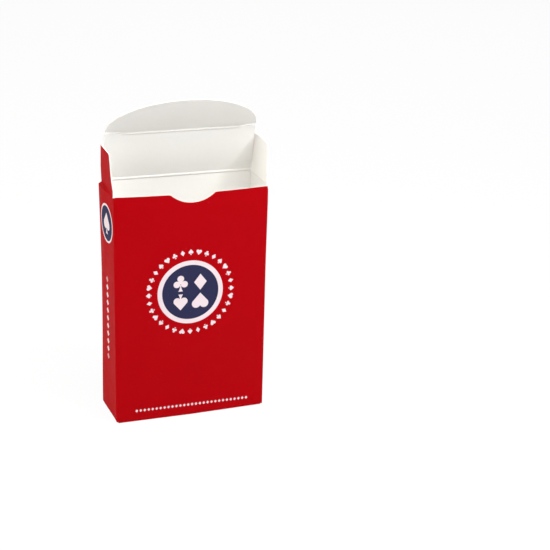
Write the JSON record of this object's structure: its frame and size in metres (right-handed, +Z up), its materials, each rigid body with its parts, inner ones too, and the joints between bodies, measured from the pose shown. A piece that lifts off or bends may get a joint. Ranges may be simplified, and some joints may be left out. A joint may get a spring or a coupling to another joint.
{
  "type": "playing card tuck box",
  "caption": "Upright folded paperboard box for a deck of playing cards, with a thumb notch, side dust flaps, and a hinged lid ending in a rounded tuck flap.",
  "frame": {"origin": "middle of the underside of the sleeve, on the surface that the box stands on", "axes": "+X to the right as seen from the front, +Y to the back panel that carries the lid, +Z up towards the open mouth"},
  "size_m": [0.061, 0.0218, 0.1262],
  "materials": {
    "printed_board": "red print with a satin varnish outside, uncoated white board inside",
    "plain_board": "unprinted white board",
    "adhesive": "dried carton glue"
  },
  "bodies": {
    "sleeve": {"front_panel": "printed_board", "back_panel": "printed_board", "left_side_panel": "printed_board", "right_side_panel": "printed_board", "front_left_fold": "printed_board", "front_right_fold": "printed_board", "rear_right_fold": "printed_board", "rear_left_fold": "printed_board", "bottom_front_fold": "printed_board", "bottom_rear_fold": "printed_board", "bottom_left_fold": "printed_board", "bottom_right_fold": "printed_board", "bottom_outer_flap": "printed_board", "lid_crease": "printed_board", "left_dust_crease": "printed_board", "right_dust_crease": "printed_board", "glue_flap": "plain_board", "bottom_inner_flap": "plain_board", "bottom_left_dust_flap": "plain_board", "bottom_right_dust_flap": "plain_board", "side_seam_glue": "adhesive", "bottom_glue": "adhesive"},
    "lid": {"lid_panel": "printed_board", "tuck_crease": "printed_board"},
    "tuck": {"tuck_flap": "printed_board"},
    "left_dust": {"left_dust_flap": "printed_board"},
    "right_dust": {"right_dust_flap": "printed_board"}
  },
  "joints": [
    {"name": "lid_fold", "type": "hinge", "parent": "sleeve", "child": "lid", "pos_m": [0, 0.0099, 0.0932], "axis": [1, 0, 0], "range_deg": [-104, 76]},
    {"name": "tuck_fold", "type": "hinge", "parent": "lid", "child": "tuck", "pos_m": [0, 0.00522, 0.11198], "axis": [1, 0, 0], "range_deg": [-36, 74]},
    {"name": "left_dust_fold", "type": "hinge", "parent": "sleeve", "child": "left_dust", "pos_m": [-0.0297, 0, 0.09275], "axis": [0, 1, 0], "range_deg": [-88, 92]},
    {"name": "right_dust_fold", "type": "hinge", "parent": "sleeve", "child": "right_dust", "pos_m": [0.0297, 0, 0.09275], "axis": [0, -1, 0], "range_deg": [-88, 92]}
  ]
}
